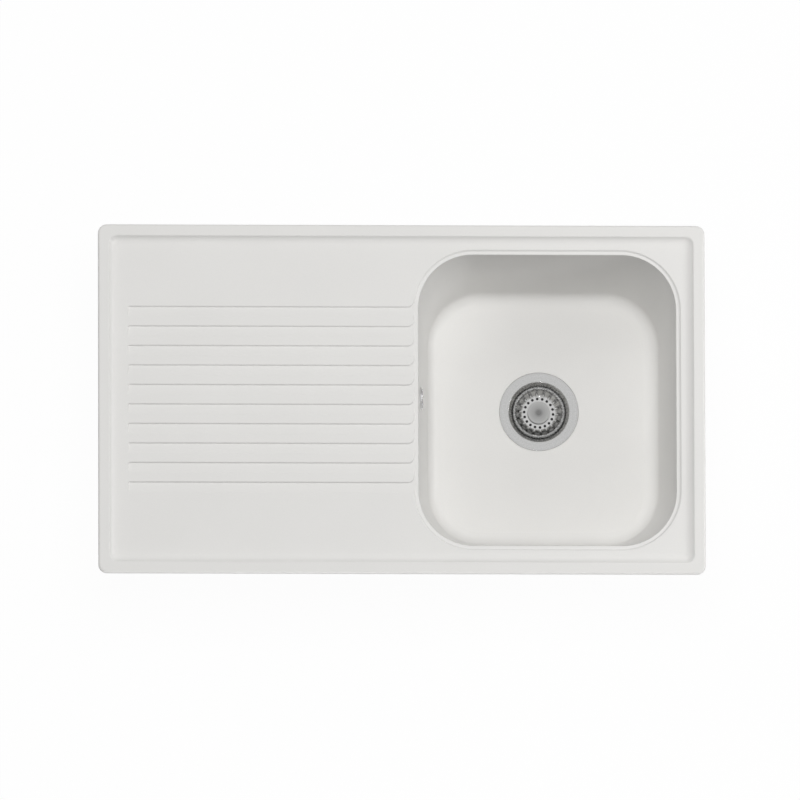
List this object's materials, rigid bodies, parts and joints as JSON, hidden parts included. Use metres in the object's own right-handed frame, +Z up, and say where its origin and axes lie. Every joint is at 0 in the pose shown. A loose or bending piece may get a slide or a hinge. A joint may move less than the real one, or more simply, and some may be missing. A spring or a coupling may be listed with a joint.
{
  "type": "kitchen sink with drainboard",
  "caption": "Inset composite kitchen sink: raised rim, recessed ribbed drainboard on the left, one deep rounded bowl with overflow and lift-out strainer, clips underneath.",
  "frame": {"origin": "centre of the rim's underside, which is the top of the worktop the sink is let into", "axes": "+X towards the bowl, +Y to the back edge, +Z up"},
  "size_m": [0.86, 0.5, 0.276],
  "materials": {
    "composite": "fine matt to silk moulded composite",
    "stainless": "pressed and brushed stainless",
    "satin_steel": "turned satin stainless",
    "chrome": "polished",
    "black_rubber": "moulded",
    "foam": "closed-cell foam",
    "white_plastic": "moulded",
    "hose_plastic": "blown corrugated tube",
    "brass": "turned",
    "zinc_steel": "zinc-plated"
  },
  "bodies": {
    "sink": {"sink_body": "composite", "rim_seal": "foam", "drain_cup": "stainless", "drain_seal_upper": "black_rubber", "drain_seal_lower": "black_rubber", "waste_body": "white_plastic", "waste_insert": "brass", "waste_screw": "stainless", "overflow_rosette": "chrome", "overflow_seal": "black_rubber", "overflow_elbow": "white_plastic", "overflow_screw": "chrome", "overflow_hose": "hose_plastic", "hose_seals": "black_rubber", "hose_nuts": "white_plastic", "clip_inserts": "brass", "clip_screws": "zinc_steel"},
    "strainer": {"basket": "stainless", "basket_knob": "satin_steel", "basket_stopper": "black_rubber", "basket_stem": "stainless", "stem_nut": "stainless"},
    "clip_1": {"clip_1": "zinc_steel"},
    "clip_2": {"clip_2": "zinc_steel"},
    "clip_3": {"clip_3": "zinc_steel"},
    "clip_4": {"clip_4": "zinc_steel"},
    "clip_5": {"clip_5": "zinc_steel"},
    "clip_6": {"clip_6": "zinc_steel"},
    "clip_7": {"clip_7": "zinc_steel"},
    "clip_8": {"clip_8": "zinc_steel"}
  },
  "joints": [
    {"name": "basket_lift", "type": "slide", "parent": "sink", "child": "strainer", "axis": [0, 0, 1], "range_m": [0, 0.26]},
    {"name": "clip_1_swing", "type": "hinge", "parent": "sink", "child": "clip_1", "pos_m": [-0.29, 0.224, -0.045], "axis": [0, 0, 1], "range_deg": [0, 90]},
    {"name": "clip_2_swing", "type": "hinge", "parent": "sink", "child": "clip_2", "pos_m": [0, 0.224, -0.045], "axis": [0, 0, 1], "range_deg": [0, 90]},
    {"name": "clip_3_swing", "type": "hinge", "parent": "sink", "child": "clip_3", "pos_m": [0.29, 0.224, -0.045], "axis": [0, 0, -1], "range_deg": [0, 90]},
    {"name": "clip_4_swing", "type": "hinge", "parent": "sink", "child": "clip_4", "pos_m": [0.404, 0, -0.045], "axis": [0, 0, -1], "range_deg": [0, 90]},
    {"name": "clip_5_swing", "type": "hinge", "parent": "sink", "child": "clip_5", "pos_m": [0.29, -0.224, -0.045], "axis": [0, 0, 1], "range_deg": [0, 90]},
    {"name": "clip_6_swing", "type": "hinge", "parent": "sink", "child": "clip_6", "pos_m": [0, -0.224, -0.045], "axis": [0, 0, -1], "range_deg": [0, 90]},
    {"name": "clip_7_swing", "type": "hinge", "parent": "sink", "child": "clip_7", "pos_m": [-0.29, -0.224, -0.045], "axis": [0, 0, -1], "range_deg": [0, 90]},
    {"name": "clip_8_swing", "type": "hinge", "parent": "sink", "child": "clip_8", "pos_m": [-0.404, 0, -0.045], "axis": [0, 0, 1], "range_deg": [0, 90]}
  ]
}
